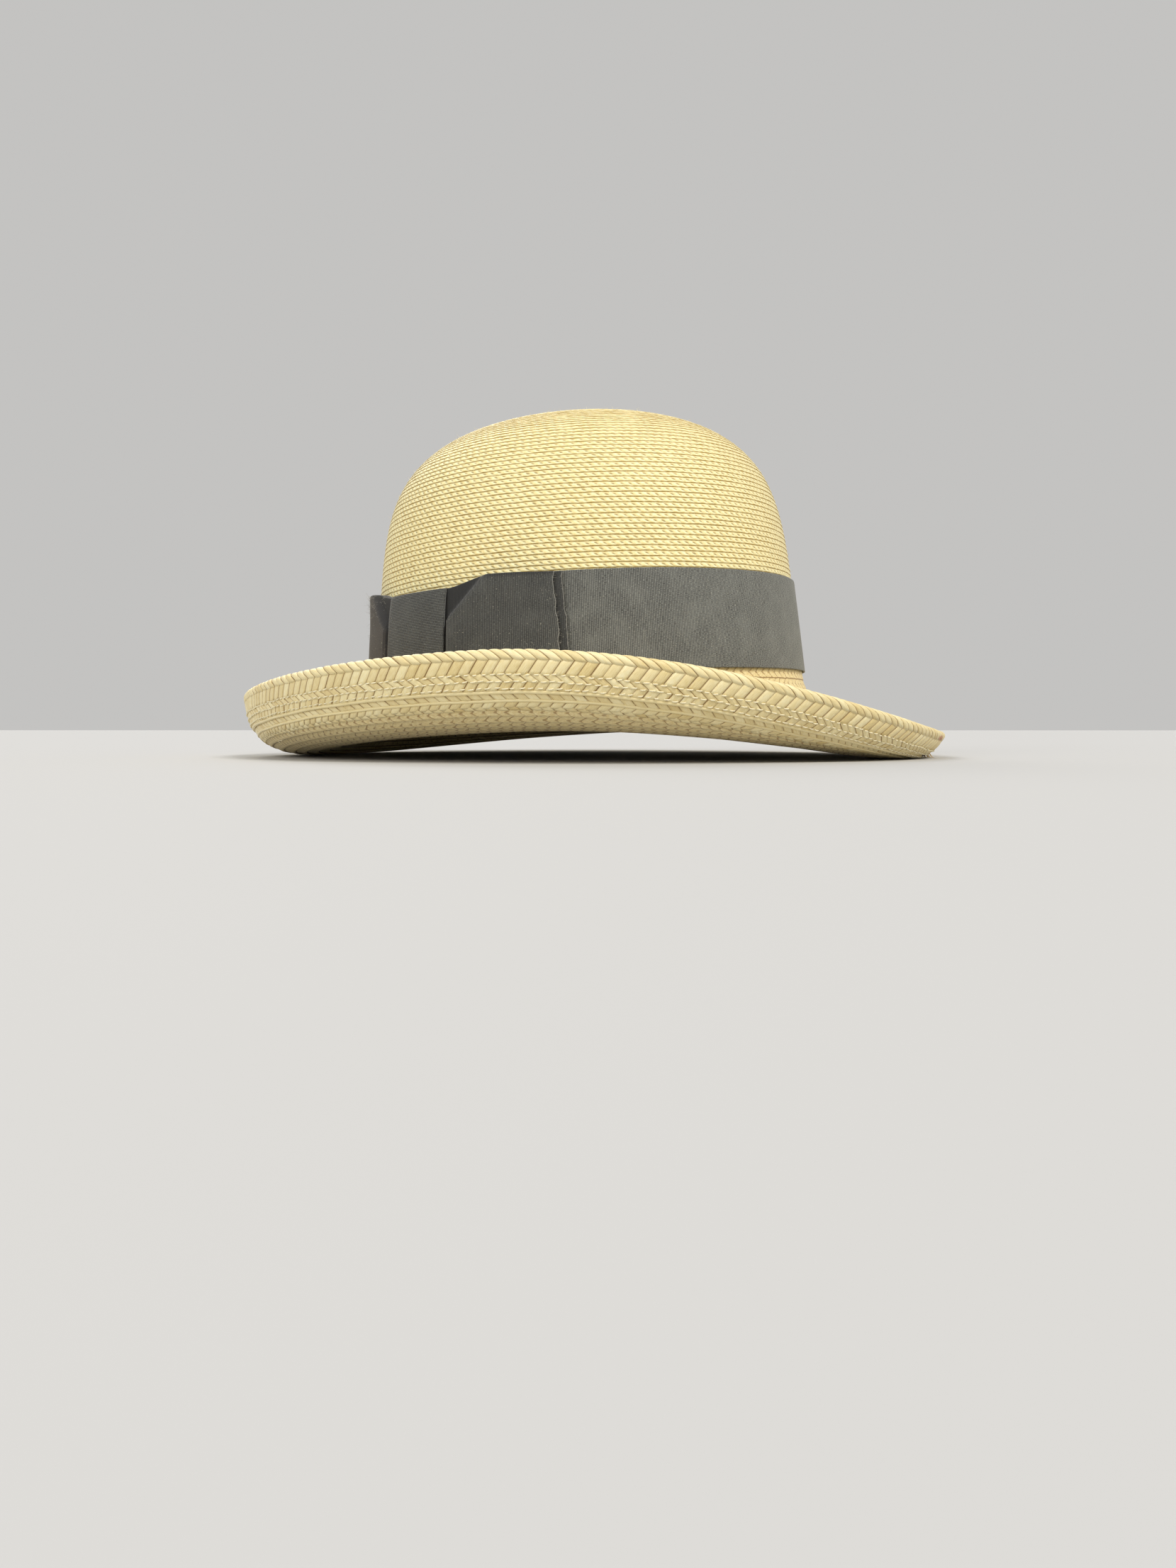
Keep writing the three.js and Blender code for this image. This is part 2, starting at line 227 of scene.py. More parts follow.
class Builder:
    """Collects grids into one mesh."""

    def __init__(self):
        self.points = []
        self.faces = []
        self.flat = []
        self.shade = []
        self.tips = []
        self.count = 0

    def add(self, grid, flip=False, shade=0.0):
        """Adds a grid and returns the vertex numbers as an array of rows and columns."""
        rows, columns = grid.points.shape[:2]
        kept = columns - 1 if grid.closed else columns
        number = self.count + np.arange(rows * kept).reshape(rows, kept)
        if grid.closed:
            number = np.concatenate([number, number[:, :1]], 1)
        self.points.append(grid.points[:, :kept].reshape(-1, 3))
        self.count += rows * kept
        self.quads(number, grid.flat, flip, shade)
        return number

    def quads(self, number, flat, flip=False, shade=0.0):
        around = [(0, 0), (1, 0), (1, 1), (0, 1)][:: -1 if flip else 1]
        rows, columns = number.shape[0] - 1, number.shape[1] - 1

        def corners(table):
            return np.stack([table[r:rows + r, c:columns + c] for r, c in around], 2)

        self.faces.append(corners(number).reshape(-1, 4))
        self.flat.append(corners(flat).reshape(-1, 2))
        self.shade.append(corners(np.broadcast_to(shade, number.shape)).ravel())

    def bridge(self, first, second, flat=0.0, shade=0.0):
        """Quads between two lines of vertex numbers, with one line of the flat map for both."""
        both = np.stack([first, second])
        self.quads(both, np.broadcast_to(flat, both.shape + (2,)), False, shade)

    def slab(self, outer, inner, shade=0.0):
        """A closed body between an outer and an inner grid of the same size."""
        flat, shade = outer.flat, np.broadcast_to(shade, outer.points.shape[:2])
        top = self.add(outer, False, shade)
        under = self.add(inner, True, shade)
        self.bridge(under[0], top[0], flat[0], shade[0])
        self.bridge(top[-1], under[-1], flat[-1], shade[-1])
        if not outer.closed:
            self.bridge(top[:, 0], under[:, 0], flat[:, 0], shade[:, 0])
            self.bridge(under[:, -1], top[:, -1], flat[:, -1], shade[:, -1])

    def cap(self, ring, centre, flip=False):
        """Closes a ring of vertex numbers to a point with triangles."""
        self.points.append(np.array([centre], float))
        turn = [ring[1:], ring[:-1]] if flip else [ring[:-1], ring[1:]]
        self.tips.append(np.stack([np.full(len(ring) - 1, self.count), *turn], -1))
        self.count += 1

    def rod(self, points, radii, sides=6):
        """A closed round rod along points, with a radius for each."""
        tangent = unit(np.gradient(points, axis=0))
        helper = np.where(np.abs(tangent[:, 2:3]) > 0.9, [[1.0, 0, 0]], [[0, 0, 1.0]])
        side = unit(np.cross(tangent, helper))
        other = np.cross(tangent, side)
        turn = np.linspace(0, 2 * np.pi, sides + 1)[None, :, None]
        away = np.cos(turn) * side[:, None] + np.sin(turn) * other[:, None]
        ring = points[:, None] + np.array(radii)[:, None, None] * away
        flat = stacked(run_along(points)[:, None], turn[..., 0] / (2 * np.pi))
        number = self.add(Grid(ring, flat, True), True)
        self.cap(number[0], points[0])
        self.cap(number[-1], points[-1], True)

    def fibre(self, start, way, length, radius, bend, sides=3, rings=5):
        """A thin tapering rod that bends sideways."""
        t = np.linspace(0, 1, rings)[:, None]
        points = start + way * length * t + bend * length * t**2
        self.rod(points, radius * (1 - 0.75 * t[:, 0]), sides)

    def piece(self, name, material, slot, *nodes):
        """The mesh as a piece that rides on the hat and stands for nodes of the CAD."""
        quads = np.concatenate(self.faces)
        tips = np.concatenate([np.zeros((0, 3), int), *self.tips])
        corners = np.concatenate([quads.ravel(), tips.ravel()])
        starts = np.concatenate([np.arange(0, quads.size, 4), quads.size + np.arange(0, tips.size, 3)])
        flat = np.concatenate([*self.flat, np.zeros((tips.size, 2))])
        shade = np.concatenate([*self.shade, np.zeros(tips.size)])
        points = to_row(np.concatenate(self.points))
        # straw and threads are pressed flat where the hat rests on them
        height, soft = points[:, 2], PRESSED * MM
        points[:, 2] = np.where(height < soft, soft * np.exp(np.minimum(height / soft - 1, 0)), height)
        data = bpy.data.meshes.new(name)
        data.vertices.add(len(points))
        data.vertices.foreach_set("co", points.astype(np.float32).ravel())
        data.loops.add(len(corners))
        data.loops.foreach_set("vertex_index", corners.astype(np.int32))
        data.polygons.add(len(starts))
        data.polygons.foreach_set("loop_start", starts.astype(np.int32))
        data.polygons.foreach_set("use_smooth", np.ones(len(starts), bool))
        layer = data.uv_layers.new(name="flat")
        layer.data.foreach_set("uv", flat.astype(np.float32).ravel())
        attribute = data.attributes.new("shade", "FLOAT", "CORNER")
        attribute.data.foreach_set("value", shade.astype(np.float32))
        data.update(calc_edges=True)
        data.validate()
        data.materials.append(material)
        piece = link(bpy.data.objects.new(name, data))
        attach(piece, "root")
        if nodes:
            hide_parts(*nodes)
        return piece


def ring_angles(columns):
    return np.linspace(0, 360, columns + 1)


def wobble(angle, waves, seed, size):
    """A smooth random wave round the hat, the same at 0 and 360 degrees."""
    draw = np.random.default_rng(seed)
    total = 0.0
    for wave in waves:
        total = total + draw.normal() * np.sin(np.radians(angle) * wave + draw.uniform(0, 2 * np.pi))
    return size * total / math.sqrt(len(waves))


# ---- materials ----


class Value:
    """A value on a surface. Sums, differences and products of values are values too."""

    def __init__(self, nodes, socket):
        self.nodes = nodes
        self.socket = socket

    def __add__(self, other):
        return self.nodes.math("ADD", self, other)

    def __sub__(self, other):
        return self.nodes.math("SUBTRACT", self, other)

    def __rsub__(self, other):
        return self.nodes.math("SUBTRACT", other, self)

    def __mul__(self, other):
        return self.nodes.math("MULTIPLY", self, other)

    def __abs__(self):
        return self.nodes.math("ABSOLUTE", self)


class Nodes:
    """A short way to write a node material."""

    def __init__(self, name):
        self.material = bpy.data.materials.new(name)
        self.material.use_nodes = True
        self.tree = self.material.node_tree
        self.shader = self.tree.nodes["Principled BSDF"]

    def put(self, value, socket):
        if isinstance(value, Value):
            self.tree.links.new(value.socket, socket)
        else:
            socket.default_value = value

    def node(self, kind, inputs=(), output=0, **settings):
        """The value that a new node gives, with its inputs by number or name."""
        node = self.tree.nodes.new(kind)
        for name, value in settings.items():
            setattr(node, name, value)
        for key, value in dict(inputs).items():
            self.put(value, node.inputs[key])
        return Value(self, node.outputs[output])

    def math(self, operation, *values):
        return self.node("ShaderNodeMath", enumerate(values), operation=operation)

    def vector(self, x, y, z=0.0):
        return self.node("ShaderNodeCombineXYZ", enumerate((x, y, z)))

    def vector_math(self, operation, a, b, output=0):
        return self.node("ShaderNodeVectorMath", {0: a, 1: b}, output, operation=operation)

    def length(self, vector):
        return self.vector_math("LENGTH", vector, (0, 0, 0), "Value")

    def flat(self):
        """The flat map's two millimetre coordinates."""
        both = self.node("ShaderNodeUVMap", uv_map="flat")
        return [self.node("ShaderNodeSeparateXYZ", {0: both}, k) for k in (0, 1)]

    def shade(self):
        return self.node("ShaderNodeAttribute", output="Fac", attribute_name="shade")

    def place(self):
        """The place on the hat in millimetres."""
        metres = self.node("ShaderNodeTexCoord", output="Object")
        return self.node("ShaderNodeVectorMath", {0: metres, "Scale": 1 / MM}, operation="SCALE")

    def noise(self, at, size, detail=2.0, rough=0.5):
        """Noise from 0 to 1 with features of the given size in the units of at."""
        inputs = {"Vector": at, "Scale": 1 / size, "Detail": detail, "Roughness": rough}
        return self.node("ShaderNodeTexNoise", inputs, "Fac")

    def ramp(self, value, low, high):
        """0 at low and below, 1 at high and above."""
        inputs = {"Value": value, "From Min": low, "From Max": high}
        return self.node("ShaderNodeMapRange", inputs, interpolation_type="SMOOTHSTEP")

    def blend(self, share, a, b):
        """The colour a where share is 0, b where it is 1."""
        a, b = (c if isinstance(c, Value) else (*c, 1) for c in (a, b))
        return self.node("ShaderNodeMix", {"Factor": share, "A": a, "B": b}, "Result", data_type="RGBA")

    def wave(self, value, period):
        """A sine from 0 to 1."""
        return self.math("SINE", value * (2 * math.pi / period)) * 0.5 + 0.5

    def bulge(self, value):
        """0 at whole numbers and 1 half way between."""
        return self.math("POWER", self.math("PINGPONG", value, 0.5), 0.5)

    def near(self, value, half):
        """1 within half of each whole number, falling to 0."""
        return 1 - self.ramp(self.math("PINGPONG", value, 0.5), half * 0.5, half * 1.3)

    def colour(self, colour):
        self.put(colour, self.shader.inputs["Base Color"])

    def bump(self, height, depth, strength=1.0):
        """Low relief, depth in millimetres."""
        inputs = {"Strength": strength, "Distance": depth * MM, "Height": height}
        self.put(self.node("ShaderNodeBump", inputs), self.shader.inputs["Normal"])

    def rough(self, roughness, sheen=0.0, sheen_roughness=0.5):
        self.shader.inputs["Roughness"].default_value = roughness
        self.shader.inputs["Sheen Weight"].default_value = sheen
        self.shader.inputs["Sheen Roughness"].default_value = sheen_roughness


def rgb(red, green, blue):
    """An sRGB colour of 0 to 255 as linear values."""
    return tuple(((c / 255 + 0.055) / 1.055) ** 2.4 if c > 10 else c / 3294 for c in (red, green, blue))


def crown_straw():
    """Rows of fine braid, a painted shadow line in olive between rows and small slanted holes in each.
    """
    m = Nodes("crown straw")
    along, row = m.flat()
    spot = m.vector(along, row)
    grain = m.noise(m.vector(along, row * 5), 1.3, 3, 0.6)
    level = row + (m.noise(spot, 5) * 0.3 - 0.15)
    within = m.math("FRACT", level)
    # the marks fade towards the top of the crown
    lower = m.ramp(row, 2, 30) * 0.5 + 0.5
    uneven = m.ramp(m.noise(spot, 2.2), 0.3, 0.6) * 0.45 + 0.55
    line = m.near(level, 0.095) * (lower * uneven)
    shift = m.math("FRACT", m.math("FLOOR", level) * 0.37) * CROWN_STITCH
    slanted = within * CROWN_HOLE["slant"] + (along + shift)
    beside = m.math("PINGPONG", slanted, CROWN_STITCH / 2) * (1 / CROWN_HOLE["long"])
    above = (within - CROWN_HOLE["middle"]) * (1 / CROWN_HOLE["high"])
    reach = m.length(m.vector(beside, above)) + m.noise(spot, 3, 1) * 1.1
    hole = (1 - m.ramp(reach, 0.6, 1.65)) * lower
    strand = m.wave(slanted, CROWN_STITCH)
    straw = m.blend(m.noise(m.place(), 28), rgb(234, 211, 144), rgb(244, 226, 160))
    # paler with the grain, and on the crests of the strands as a painted highlight
    straw = m.blend(m.ramp(strand * 0.25 + grain, 0.4, 0.9), straw, rgb(255, 247, 198))
    # the holes are drawn dark: painted shade inside them
    straw = m.blend(hole * 0.8, straw, rgb(156, 130, 64))
    # the olive line between rows is painted shadow under each row's lip
    m.colour(m.blend(line, straw, rgb(172, 140, 66)))
    m.rough(0.55, 0.1, 0.4)
    m.bump(strand * 0.35 + grain * 0.6 - hole * 1.2, 0.25, 0.8)
    return m.material


def brim_straw():
    """Coarser rows of plaited straw, each a line of chevrons with brown outlines."""
    m = Nodes("brim straw")
    along, row = m.flat()
    grain = m.noise(m.vector(along, row * 9), 1.2, 3, 0.6)
    shake = m.noise(m.vector(along, row * 2), 2.6) * 0.5 - 0.25
    level = row + shake * 0.25
    line = m.near(level, 0.06)
    within = m.math("FRACT", level)
    stagger = m.math("FLOOR", level) * 0.5
    chevron = along * (1 / PLAIT_REPEAT) + (shake + stagger) + abs(within - 0.52) * 1.25
    worn = m.ramp(m.noise(m.vector(along, row * 3), 3.5, 1), 0.32, 0.58)
    mark = m.near(chevron, 0.07) * worn
    knot = m.near(chevron, 0.16) * m.near(level - 0.5, 0.12)
    dark = m.math("MAXIMUM", mark * 0.72, knot * 0.6)
    straw = m.blend(m.noise(m.place(), 22), rgb(224, 199, 136), rgb(237, 215, 156))
    straw = m.blend(m.ramp(grain, 0.35, 0.7), straw, rgb(248, 232, 182))
    straw = m.blend(dark, straw, rgb(146, 102, 48))
    # the dark line between rows is painted shade under each row's edge
    m.colour(m.blend(line * 0.75, straw, rgb(128, 88, 40)))
    m.rough(0.55, 0.1, 0.4)
    m.bump(m.bulge(chevron) * m.bulge(within) + grain * 0.25, 0.45, 0.9)
    return m.material


def mark_reach(m, hook, mark):
    """How far a point is from the middle of a mark on the rim, 1 at its edge. The rim runs along X
    at the front."""
    middle = tuple(to_row(hook.points(mark["along"] % hook.length, mark["back"], 0.2)) / MM)
    sizes = (1 / mark["long"], 1 / mark["wide"], 1 / mark["wide"])
    return m.length(m.vector_math("MULTIPLY", m.vector_math("SUBTRACT", m.place(), middle), sizes))


def plait_straw(hook):
    """Flat split straws with a lengthwise grain, brown along their edges, with the two marks at the
    front of the rim."""
    m = Nodes("plait straw")
    length, across = m.flat()
    tone = m.shade()
    grain = m.noise(m.vector(length * 0.08, across * 2, tone * 90), 0.16, 3, 0.6)
    straw = m.blend(tone, rgb(216, 190, 124), rgb(242, 222, 160))
    light = m.blend(tone, rgb(236, 214, 154), rgb(253, 242, 200))
    straw = m.blend(m.ramp(grain, 0.3, 0.72), straw, light)
    straw = m.blend(m.ramp(abs(across), 0.84, 1.02) * 0.65, straw, rgb(146, 98, 42))
    burn = 1 - m.ramp(m.noise(m.place(), 2.2, 3) * 1.1 + mark_reach(m, hook, SCORCH), 0.7, 1.35)
    straw = m.blend(burn * 0.85, straw, rgb(184, 104, 34))
    # the open gap is only colour: painted shade inside the opening
    split = 1 - m.ramp(mark_reach(m, hook, SPLIT), 0.7, 1.1)
    m.colour(m.blend(split * 0.92, straw, rgb(58, 24, 12)))
    m.rough(0.4, 0.05)
    m.bump(grain, 0.12, 0.7)
    return m.material


def thread():
    m = Nodes("sewing thread")
    along, around = m.flat()
    twist = m.wave(along * 3 + around, 1)
    m.colour(m.blend(twist, rgb(236, 220, 172), rgb(255, 247, 216)))
    m.rough(0.7)
    m.bump(twist, 0.05)
    return m.material


def grosgrain(name, tone, lint, cut=False, tint=(1.0, 1.0, 1.0)):
    """Ribbed ribbon: the ribs are geometry, the weft threads and lint are low relief and colour, and
    stripes at the rib spacing are painted shade between the ribs and painted light on them. The
    tone is a painted light level for each part. Where shade is 1 the cloth is nearly black, as
    painted shade; a cut end has a pale frayed line with a painted highlight."""
    m = Nodes(name)
    along, across = m.flat()
    weft = m.noise(m.vector(along * 0.7, across * 5), 0.8)
    # tone scales both colours as a painted light level: the same ribbon is drawn lighter or darker for
    # each part
    dark = tuple(c * tone * t for c, t in zip(rgb(33, 33, 31), tint))
    light = tuple(c * tone * t for c, t in zip(rgb(122, 123, 116), tint))
    # dark and light stripes at the rib spacing: painted shade between the ribs and painted light on
    # them
    cloth = m.blend(m.wave(along, RIB) * m.ramp(weft, 0.25, 0.75), dark, light)
    cloth = m.blend(m.ramp(m.noise(m.place(), 9, 3), 0.35, 0.75) * 0.14, cloth, light)
    speck = m.ramp(m.noise(m.place(), 0.7), lint, lint + 0.07)
    cloth = m.blend(speck * 0.5, cloth, rgb(170, 166, 150))
    # the shade attribute: painted shade in the bow's folded corner, and a darker top edge
    cloth = m.blend(m.shade() * 0.88, cloth, rgb(15, 14, 13))
    if cut:
        # a pale line along the cut end: frayed threads, and a painted highlight where the edge catches
        # light
        fray = 1 - m.ramp(m.noise(m.place(), 0.8) * 0.9 + along, 0.5, 0.9)
        cloth = m.blend(fray * 0.7, cloth, rgb(142, 140, 132))
    m.colour(cloth)
    m.rough(0.72, 0.25, 0.45)
    m.bump(weft, 0.05, 0.6)
    return m.material


def sweat_ribbon():
    m = Nodes("sweatband ribbon")
    weave = m.wave(m.flat()[0], 0.9)
    cloth = m.blend(m.noise(m.place(), 14, 3), rgb(62, 55, 47), rgb(84, 75, 64))
    m.colour(m.blend(weave * 0.35, cloth, rgb(98, 88, 76)))
    m.rough(0.8, 0.2)
    m.bump(weave, 0.08, 0.6)
    return m.material


def plain(name, colour):
    """One colour with a slight drift over the surface."""
    m = Nodes(name)
    m.colour(m.blend(m.noise(m.place(), 3), tuple(c * 0.8 for c in colour), colour))
    m.rough(0.7)
    return m.material


# ---- crown ----


def crown_scale(share):
    dome = (1 - np.minimum(share, 1) ** CROWN_SQUARENESS) ** (1 / CROWN_ROUNDNESS)
    return dome * (1 - CROWN_LEAN * share)


def crown_point(angle, share, inset=0.0):
    scale = crown_scale(share)
    return place(angle, -inset * scale, share * (CROWN_HEIGHT - inset), scale)


def crown_out(angle, height, off):
    """A point off the crown's outer face, square to its oval."""
    return place(angle, off, height, crown_scale(height / CROWN_HEIGHT))


def crown_shares(steps):
    """Height shares at steps from 0 to 1 along the crown's section from its foot to its top, and
    the section's length."""
    first = CROWN_FOOT / CROWN_HEIGHT
    fine = first + (1 - first) * (1 - (1 - np.linspace(0, 1, 4001)) ** 3)
    run = run_along(stacked(HEAD_RADIUS * crown_scale(fine), fine * CROWN_HEIGHT))
    return np.interp(steps * run[-1], run, fine), run[-1]


def make_crown():
    angle = ring_angles(260)[None, :]
    rows = round(crown_shares(0)[1] / CROWN_ROW)
    # rows are counted from the top down, and each one's lower edge lies over the next one
    within = [0.03, 0.4, 0.72, 0.93]
    lip = [-0.06, 0.13, 0.25, 0.2]
    level = np.add.outer(np.arange(rows), within).ravel()[1:]
    relief = np.tile(lip, rows)[1:]
    drift = wobble(angle, (2, 3, 5, 8), 11, 0.05)
    calm = np.minimum(1, (rows - level) / 4) * np.minimum(1, level / 6)
    moved = level[:, None] + drift * calm[:, None]
    share = crown_shares(1 - np.clip(moved, 0, rows) / rows)[0]
    points = crown_point(angle, share)
    # every row has its own whole number of stitches
    middle = crown_shares(1 - (np.floor(level) + 0.5) / rows)[0]
    round_row = 2 * math.pi * HEAD_RADIUS * crown_scale(middle)
    stitches = np.maximum(2, np.round(round_row / CROWN_STITCH))[:, None]
    flat = stacked(angle / 360 * stitches * CROWN_STITCH, level[:, None])
    fuzzy = np.random.default_rng(5).normal(0, 0.025, points.shape[:2])
    build = Builder()
    top_rings = build.add(Grid(points, flat, True).raised(relief[:, None] + fuzzy))
    inner_level = np.linspace(0.5, rows, 36)[:, None]
    inner_points = crown_point(angle, crown_shares(1 - inner_level / rows)[0], CROWN_WALL)
    inner_flat = stacked(angle * 1.6, inner_level)  # about 1.6 mm a degree
    under_rings = build.add(Grid(inner_points, inner_flat, True), True)
    build.bridge(top_rings[-1], under_rings[-1])
    build.cap(top_rings[0], (0, 0, CROWN_HEIGHT + 0.15))
    build.cap(under_rings[0], (0, 0, CROWN_HEIGHT - CROWN_WALL), True)
    build.piece("crown_straw_rows", crown_straw(), "crown_straw", "crown")


# ---- brim ----


def brim_at(angle):
    """The brim's sizes at an angle, between the front, side and back sections."""
    front = math.cos(math.radians(angle))
    end = BRIM_SECTIONS["front" if front > 0 else "back"]
    return {name: mix(BRIM_SECTIONS["side"][name], end[name], front**2) for name in end}


def bezier(points, steps=120):
    """Even points along a cubic curve, with their distances from its start."""
    t = np.linspace(0, 1, steps * 4)[:, None]
    a, b, c, d = np.array(points)
    fine = (1 - t) ** 3 * a + 3 * (1 - t) ** 2 * t * b + 3 * (1 - t) * t**2 * c + t**3 * d
    run = run_along(fine)
    even = np.linspace(0, run[-1], steps + 1)
    return np.stack([np.interp(even, run, fine[:, k]) for k in (0, 1)], 1), even


def under_face(angle):
    """The brim's under face in a section, from rim to collar: points as (out, height), and their
    distances from the rim."""
    size = brim_at(angle)

    def along(point, slope, length):
        turn = math.radians(slope)
        return (point[0] + math.cos(turn) * length, point[1] + math.sin(turn) * length)

    collar = (-COLLAR_IN, COLLAR_TOP)
    low = (size["width"] * BRIM_LOWEST_SHARE, size["low"])
    rim = (size["width"], size["rim"])
    root_pull = low[0] * ROOT_PULL
    curl_pull = math.dist(low, rim) * CURL_PULL
    below_collar = (-COLLAR_IN, COLLAR_TOP * (1 - COLLAR_PULL))
    before_low, after_low = (along(low, size["low_slope"], pull) for pull in (-root_pull, curl_pull))
    root, root_run = bezier([collar, below_collar, before_low, low])
    curl, curl_run = bezier([low, after_low, along(rim, size["rim_slope"], -curl_pull), rim])
    points = np.concatenate([root, curl[1:]])[::-1]
    run = np.concatenate([root_run, root_run[-1] + curl_run[1:]])
    return points, (run[-1] - run)[::-1]


class Section:
    """The brim's sections round the hat, read by the distance from the rim."""

    def __init__(self, columns):
        self.angles = ring_angles(columns)
        faces = [under_face(a) for a in self.angles]
        self.points, self.run = (np.stack(part) for part in zip(*faces))
        tangent = -unit(np.gradient(self.points, axis=1))
        self.up = np.stack([-tangent[..., 1], tangent[..., 0]], -1)
        self.length = self.run[:, -1]
        self.rim = run_along(place(self.angles, self.points[:, 0, 0], self.points[:, 0, 1]))

    def grid(self, back, off):
        """Points at distances from the rim, as (rows, columns) arrays, at off from the under face."""
        points = np.empty(back.shape + (3,))
        for c, angle in enumerate(self.angles):
            tables = [*self.points[c].T, *self.up[c].T]
            out, height, up_out, up_height = (np.interp(back[:, c], self.run[c], t) for t in tables)
            points[:, c] = place(angle, out + up_out * off[:, c], height + up_height * off[:, c])
        return points


# Distances from the rim of the edges of the first rows, under the plait and beside it.
STEPS = [0, 4.2, 8.6, 13.2, 16.2, 19.3]
SECTION_LENGTH = 76  # about the way from rim to collar, which gives the number of rows


def brim_rows(length):
    """The edges of the rows from rim to collar, for one length of section."""
    rest = round((SECTION_LENGTH - STEPS[-1]) / BRIM_ROW)
    return np.array(STEPS + [mix(STEPS[-1], length, (k + 1) / rest) for k in range(rest)])


def make_brim():
    section = Section(300)
    edges = np.stack([brim_rows(length) for length in section.length], 1)
    rows = len(edges) - 1
    drift = wobble(section.angles, (2, 3, 5, 7, 11), 21, 0.03)

    def face(within, lip, upper):
        level = np.add.outer(np.arange(rows), within).ravel()
        low = np.floor(level).astype(int)
        share = (level - low)[:, None]
        back = edges[low] * (1 - share) + edges[low + 1] * share
        inner_part = np.minimum(1, np.maximum(0, (back - STEPS[3]) / 6))
        calm = np.minimum(1, (section.length[None, :] - back) / 5)
        back = back + drift[None, :] * BRIM_ROW * inner_part * calm
        wall = mix(BRIM_EDGE_WALL, BRIM_WALL, smooth(back / BRIM_THINS_OVER))
        relief = np.tile(lip, rows)[:, None] * np.clip((back - 4) / 6, 0.3, 1)
        relief = relief * np.minimum(1, np.maximum(0, (section.length[None, :] - back - 2) / 6))
        off = wall + relief if upper else -relief
        points = section.grid(back, off)
        # every row has its own whole number of straws
        length = np.linalg.norm(np.diff(points, axis=1), axis=-1).sum(1)
        repeats = np.round(length[low * len(within)] / PLAIT_REPEAT)[:, None]
        around = section.rim / section.rim[-1] * repeats * PLAIT_REPEAT
        return Grid(points, stacked(around, level[:, None]), True)

    build = Builder()
    # below, each row's inner edge lies over the next row; above, its outer edge does
    under = build.add(face([0.02, 0.35, 0.7, 0.92], [-0.1, 0.14, 0.42, 0.36], False), False)
    over = build.add(face([0.06, 0.3, 0.65, 0.97], [0.34, 0.38, 0.14, -0.06], True), True)
    flat = stacked(section.rim, 0.5)
    build.bridge(over[0], under[0], flat)
    build.bridge(under[-1], over[-1], flat)
    build.piece("brim_straw_rows", brim_straw(), "brim_straw", "brim")


# ---- the plait at the rim ----

HALF_EDGE = BRIM_EDGE_WALL / 2
PLAIT_BASE = HALF_EDGE + GAP + 0.55
PLAIT_TOP = 1.1
OVER = math.pi * PLAIT_BASE / 2 * 1.1  # half the way over the rim
STRAW_SHARE = 0.985  # a straw's width, as a share of the way to the next one
STRAW_FOOT = 0.12  # how far a straw's two faces stand off its middle at the edges


class Hook:
    """The surface of the plait folded over the rim. "back" counts from the rim down the outer side,
    and below 0 over the top and down the inner side."""

    def __init__(self):
        self.section = Section(360)
        self.run = self.section.rim
        self.length = self.run[-1]
        self.around = np.linspace(0, self.length, 361)[None, :]

    def points(self, along, back, off):
        along, back, off = np.broadcast_arrays(along, back, off)
        column = np.interp(along % self.length, self.run, np.arange(len(self.run)))
        low = np.minimum(column.astype(int), len(self.run) - 2)
        share = (column - low)[..., None]
        angle = mix(self.section.angles[low], self.section.angles[low + 1], share[..., 0])
        outer = back >= 0
        inner = back < -2 * OVER
        leg = np.where(outer, back, np.where(inner, -back - 2 * OVER, 0))
        step = self.section.run[low, 1] - self.section.run[low, 0]
        level = leg / step

        def read(table):
            rows = np.minimum(level.astype(int), table.shape[1] - 2)
            part = (level - rows)[..., None]
            near = table[low, rows] * (1 - part) + table[low, rows + 1] * part
            far = table[low + 1, rows] * (1 - part) + table[low + 1, rows + 1] * part
            return near * (1 - share) + far * share

        at = read(self.section.points)
        up = unit(read(self.section.up))
        tangent = np.stack([up[..., 1], -up[..., 0]], -1)
        turn = np.where(outer, 0, np.where(inner, math.pi, -back / OVER * math.pi / 2))[..., None]
        reach = (PLAIT_BASE + off)[..., None]
        rise = (PLAIT_TOP + off)[..., None]
        spot = at + up * HALF_EDGE - up * np.cos(turn) * reach + tangent * np.sin(turn) * rise
        return place(angle, spot[..., 0], spot[..., 1])


# A flat straw, in distances from the rim: where it starts and ends, how far it leans per millimetre,
# how many points long it is, how round its two ends are, how high it stands, how far each end is
# tucked in, and how far it lies below the plait's face.
Straw = namedtuple("Straw", "first last lean rows tips height tuck drop")

PLAIT_STRAWS = [
    Straw(-8.4, 1.8, -1.05, 10, (0, 0.2), 0.34, (0.5, 0.9), 0),
    Straw(1.4, 6.6, 0.74, 7, (0.1, 0.5), 0.38, (0.1, 0.85), 0),
    Straw(6.3, 9.5, -1.15, 6, (0.2, 0.4), 0.3, (0.1, 0.8), 0.05),
    Straw(9.1, 12.5, 0.74, 6, (0.2, 0.4), 0.3, (0.1, 0.8), 0.1),
]

# The zigzag rows beside the plait.
ROW_STRAWS = [
    Straw(13.7, 16.2, -0.85, 5, (0, 0.2), 0.3, (0.2, 0.8), 0.62),
    Straw(17.0, 19.3, 0.85, 5, (0, 0.3), 0.34, (0.2, 0.8), 0.62),
    Straw(18.4, 20.6, -0.85, 5, (0, 0.3), 0.22, (0.1, 0.8), 0.62),
]

# The rounded lips above the rows: distance from the rim, radius, and depth below the plait's face.
LIPS = ((13.1, 0.72, 0.2), (16.5, 0.62, 0.55))


